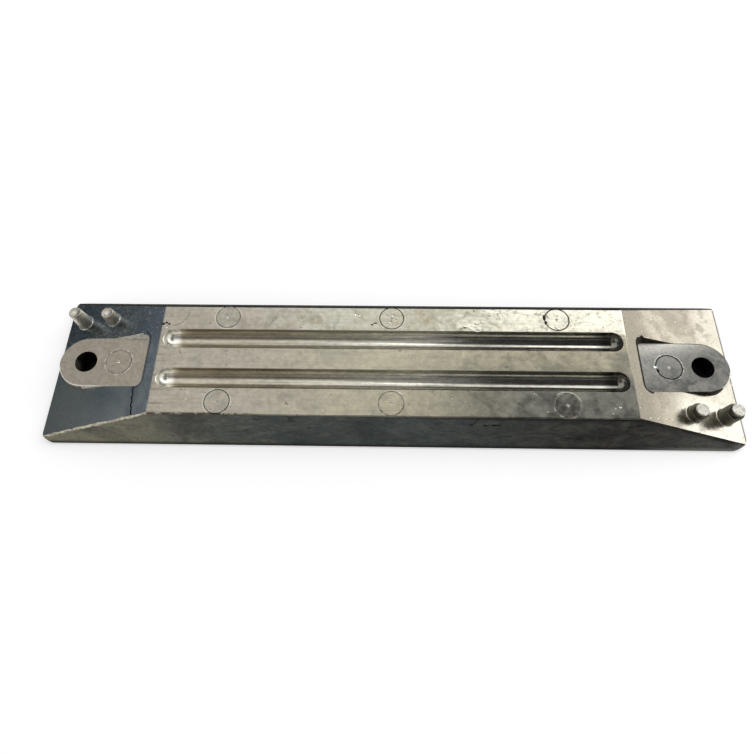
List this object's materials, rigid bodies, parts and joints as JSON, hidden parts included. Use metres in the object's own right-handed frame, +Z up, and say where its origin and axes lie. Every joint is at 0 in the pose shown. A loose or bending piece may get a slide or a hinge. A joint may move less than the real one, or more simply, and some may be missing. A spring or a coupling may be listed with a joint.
{
  "type": "sacrificial anode",
  "caption": "Long die-cast bar anode with sloping sides, ramped ends, two lengthwise grooves and a bolt ear at each end.",
  "frame": {"origin": "middle of the flat underside", "axes": "+X along the bar, +Y across it towards the edge with the tapered stub pins, +Z up from the underside"},
  "size_m": [0.28, 0.0644, 0.0147],
  "materials": {
    "cast_alloy": "as-cast satin metal, lightly stained, with brighter grooves"
  },
  "bodies": {
    "root": {"anode_casting": "cast_alloy"}
  },
  "joints": []
}
